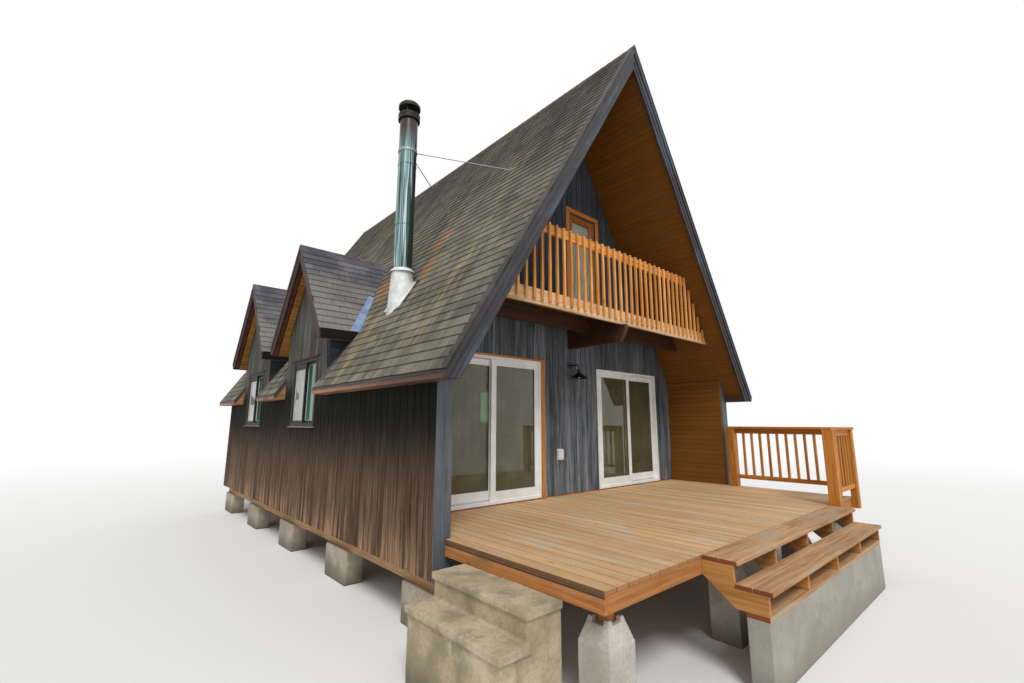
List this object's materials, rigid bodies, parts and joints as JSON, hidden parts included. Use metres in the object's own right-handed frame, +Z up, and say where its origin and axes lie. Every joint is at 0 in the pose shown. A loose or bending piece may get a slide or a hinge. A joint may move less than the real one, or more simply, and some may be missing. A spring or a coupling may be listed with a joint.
{
  "type": "a-frame cabin",
  "caption": "A-frame cabin with a steep shingled roof, wall dormers, a gable balcony, two sliding patio doors, a timber deck with stair and railing, and a stainless chimney",
  "frame": {"origin": "at the lowest ground level, under the middle of the front wall's outer face, on the underside of the middle floor beam's front pier", "axes": "+X runs to the right along the front, +Y from the front to the back along the ridge, +Z up"},
  "size_m": [7.29, 12.188, 8.09],
  "materials": {
    "concrete": "rough cast concrete",
    "pale_timber": "raw sawn timber",
    "floor_timber": "sawn boards",
    "siding_brown": "dark stained vertical boards",
    "siding_dark": "blue-black stained vertical boards",
    "siding_blue_grey": "blue-grey stained boards",
    "shingles": "weathered asphalt shingles",
    "cedar_lining": "orange-brown tongue and groove boards",
    "rake_boards": "dark stained boards",
    "cedar_trim": "orange cedar, clear oiled",
    "window_frames": "dark painted frames",
    "window_glass": "clear glass",
    "door_glass": "clear glass",
    "corner_flashing": "dark blue-grey painted",
    "white_frames": "white vinyl",
    "balcony_boards": "pale sawn boards",
    "dark_beams": "dark stained beams",
    "balcony_door_wood": "stained wood door",
    "stainless_pipe": "bright stainless steel",
    "black_metal": "black enamel",
    "pale_metal": "pale weathered flashing",
    "galvanised_rods": "galvanised steel",
    "deck_wood": "light reddish-tan boards",
    "deck_frame_wood": "pressure treated timber",
    "stringer_wood": "pale plywood",
    "outlet_plastic": "grey plastic"
  },
  "bodies": {
    "cabin": {"foundation_piers": "concrete", "floor_beams": "pale_timber", "floors": "floor_timber", "side_walls": "siding_brown", "rear_wall": "siding_dark", "front_wall": "siding_dark", "front_gable_wall": "siding_dark", "left_roof": "shingles", "right_roof": "shingles", "porch_lining": "cedar_lining", "rakes": "rake_boards", "eave_trim": "cedar_trim", "dormer_roofs": "shingles", "dormer_cheeks": "siding_blue_grey", "dormer_trim": "rake_boards", "windows": "window_frames", "window_glass": "window_glass", "corner_boards": "corner_flashing", "door_frames": "white_frames", "fixed_door_glass": "door_glass", "door_casings": "cedar_trim", "balcony_floor": "balcony_boards", "balcony_beams": "dark_beams", "balcony_railing": "cedar_trim", "balcony_door": "balcony_door_wood", "chimney_pipe": "stainless_pipe", "chimney_cap": "black_metal", "chimney_flashing": "pale_metal", "chimney_stays": "galvanised_rods", "deck_boards": "deck_wood", "deck_frame": "deck_frame_wood", "deck_posts": "deck_frame_wood", "deck_footings": "concrete", "stair_stringers": "stringer_wood", "stair_treads": "deck_wood", "railing_posts": "cedar_trim", "side_railing": "cedar_trim", "front_railing": "cedar_trim", "concrete_steps": "concrete", "barn_lamp": "black_metal", "outlet_cover": "outlet_plastic"},
    "left_door_panel": {"left_sliding_panel": "white_frames", "left_sliding_glass": "door_glass"},
    "right_door_panel": {"right_sliding_panel": "white_frames", "right_sliding_glass": "door_glass"}
  },
  "joints": [
    {"name": "left_door_slide", "type": "slide", "parent": "cabin", "child": "left_door_panel", "axis": [1, 0, 0], "range_m": [0, 0.8]},
    {"name": "right_door_slide", "type": "slide", "parent": "cabin", "child": "right_door_panel", "axis": [-1, 0, 0], "range_m": [0, 0.8]}
  ]
}
